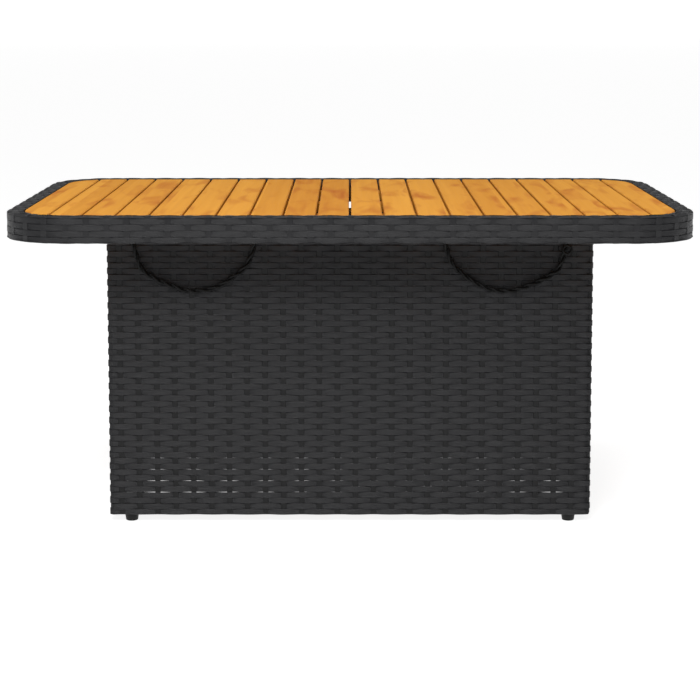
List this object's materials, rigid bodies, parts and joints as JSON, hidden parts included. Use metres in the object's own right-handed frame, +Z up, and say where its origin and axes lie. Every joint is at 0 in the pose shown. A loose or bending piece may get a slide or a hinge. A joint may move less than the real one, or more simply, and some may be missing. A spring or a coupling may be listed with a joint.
{
  "type": "coffee table",
  "caption": "Low garden coffee table with a slatted wooden top in a woven rim, on a woven box base with levelling feet.",
  "frame": {"origin": "on the floor under the middle of the table", "axes": "+X along the long side, +Y towards the back, +Z up"},
  "size_m": [1.1, 0.68, 0.512],
  "materials": {
    "reed": "flat charcoal plastic reed, plain weave, soft sheen",
    "acacia": "oiled golden brown acacia",
    "steel": "black powder coat",
    "zinc": "zinc plated",
    "foot": "black moulded plastic"
  },
  "bodies": {
    "table": {"rim_weave": "reed", "weave_front": "reed", "weave_back": "reed", "weave_left": "reed", "weave_right": "reed", "batten_front_left": "acacia", "batten_middle_left": "acacia", "batten_back_left": "acacia", "batten_front_right": "acacia", "batten_middle_right": "acacia", "batten_back_right": "acacia", "slat_01": "acacia", "slat_02": "acacia", "slat_03": "acacia", "slat_04": "acacia", "slat_05": "acacia", "slat_06": "acacia", "slat_07": "acacia", "slat_08": "acacia", "slat_09": "acacia", "slat_10": "acacia", "slat_11": "acacia", "slat_12": "acacia", "slat_13": "acacia", "slat_14": "acacia", "slat_15": "acacia", "slat_16": "acacia", "slat_17": "acacia", "slat_18": "acacia", "slat_19": "acacia", "slat_20": "acacia", "rim_tube": "steel", "top_cross_bar_1": "steel", "top_cross_bar_2": "steel", "top_cross_bar_3": "steel", "top_cross_bar_4": "steel", "post_front_left": "steel", "post_front_right": "steel", "post_back_left": "steel", "post_back_right": "steel", "rail_top_front": "steel", "rail_bottom_front": "steel", "rail_top_back": "steel", "rail_bottom_back": "steel", "rail_top_left": "steel", "rail_bottom_left": "steel", "rail_top_right": "steel", "rail_bottom_right": "steel", "brace_front_left": "steel", "brace_front_right": "steel", "brace_back_left": "steel", "brace_back_right": "steel", "top_bolt_front_left": "zinc", "top_bolt_front_right": "zinc", "top_bolt_back_left": "zinc", "top_bolt_back_right": "zinc"},
    "leveller_front_left": {"foot_front_left": "foot"},
    "leveller_front_right": {"foot_front_right": "foot"},
    "leveller_back_left": {"foot_back_left": "foot"},
    "leveller_back_right": {"foot_back_right": "foot"}
  },
  "joints": [
    {"name": "level_front_left", "type": "slide", "parent": "table", "child": "leveller_front_left", "axis": [0, 0, -1], "range_m": [0, 0.008]},
    {"name": "level_front_right", "type": "slide", "parent": "table", "child": "leveller_front_right", "axis": [0, 0, -1], "range_m": [0, 0.008]},
    {"name": "level_back_left", "type": "slide", "parent": "table", "child": "leveller_back_left", "axis": [0, 0, -1], "range_m": [0, 0.008]},
    {"name": "level_back_right", "type": "slide", "parent": "table", "child": "leveller_back_right", "axis": [0, 0, -1], "range_m": [0, 0.008]}
  ]
}
